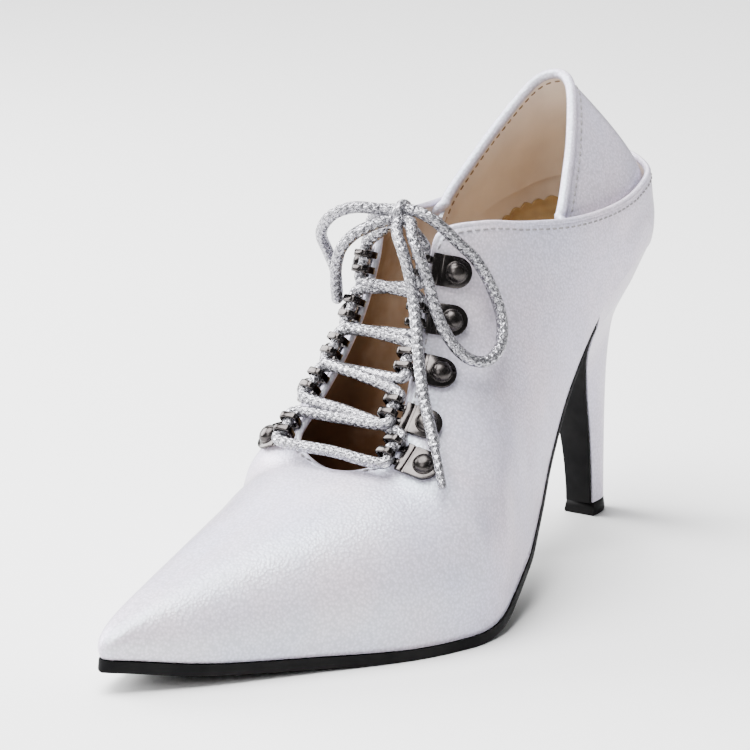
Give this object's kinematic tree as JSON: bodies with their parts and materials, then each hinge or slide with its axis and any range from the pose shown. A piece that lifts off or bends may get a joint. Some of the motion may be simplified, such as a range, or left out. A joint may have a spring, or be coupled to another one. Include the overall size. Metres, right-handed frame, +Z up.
{
  "type": "pointed toe pump",
  "caption": "Pointed toe lace-up pump for the left foot: hollow leather upper with open throat, rising heel tab, slim high heel, metal lace guides and a round lace tied in a bow.",
  "frame": {"origin": "middle of the top lift's lower face, on the floor that heel and forefoot stand on", "axes": "toe along -Y, outer side of the left foot along +X, +Z up"},
  "size_m": [0.0805, 0.2293, 0.1361],
  "materials": {
    "upper_leather": "pearlised white",
    "heel_cover": "pearlised white",
    "tab_leather": "pearlised white",
    "tab_piping": "pearlised white",
    "insole_lining": "matt tan",
    "sole_black": "satin black",
    "top_lift_black": "matt black",
    "guide_metal": "gunmetal",
    "rivet_metal": "gunmetal",
    "lace_cord": "silver glitter"
  },
  "bodies": {
    "root": {"upper": "upper_leather", "outsole": "sole_black", "heel": "heel_cover", "top_lift": "top_lift_black", "insole": "insole_lining", "heel_tab": "tab_leather", "tab_binding": "tab_piping", "lace_bar": "lace_cord", "lace_knot": "lace_cord", "lace_crossing_5": "lace_cord", "lace_crossing_4": "lace_cord", "lace_crossing_3": "lace_cord", "lace_crossing_2": "lace_cord", "lace_loop_outer": "lace_cord", "lace_end_outer": "lace_cord", "lace_guide_outer_1": "guide_metal", "rivet_outer_1": "rivet_metal", "lace_guide_outer_2": "guide_metal", "rivet_outer_2": "rivet_metal", "lace_guide_outer_3": "guide_metal", "rivet_outer_3": "rivet_metal", "lace_guide_outer_4": "guide_metal", "rivet_outer_4": "rivet_metal", "lace_guide_outer_5": "guide_metal", "rivet_outer_5": "rivet_metal", "lace_loop_inner": "lace_cord", "lace_end_inner": "lace_cord", "lace_guide_inner_1": "guide_metal", "rivet_inner_1": "rivet_metal", "lace_guide_inner_2": "guide_metal", "rivet_inner_2": "rivet_metal", "lace_guide_inner_3": "guide_metal", "rivet_inner_3": "rivet_metal", "lace_guide_inner_4": "guide_metal", "rivet_inner_4": "rivet_metal", "lace_guide_inner_5": "guide_metal", "rivet_inner_5": "rivet_metal"}
  },
  "joints": []
}
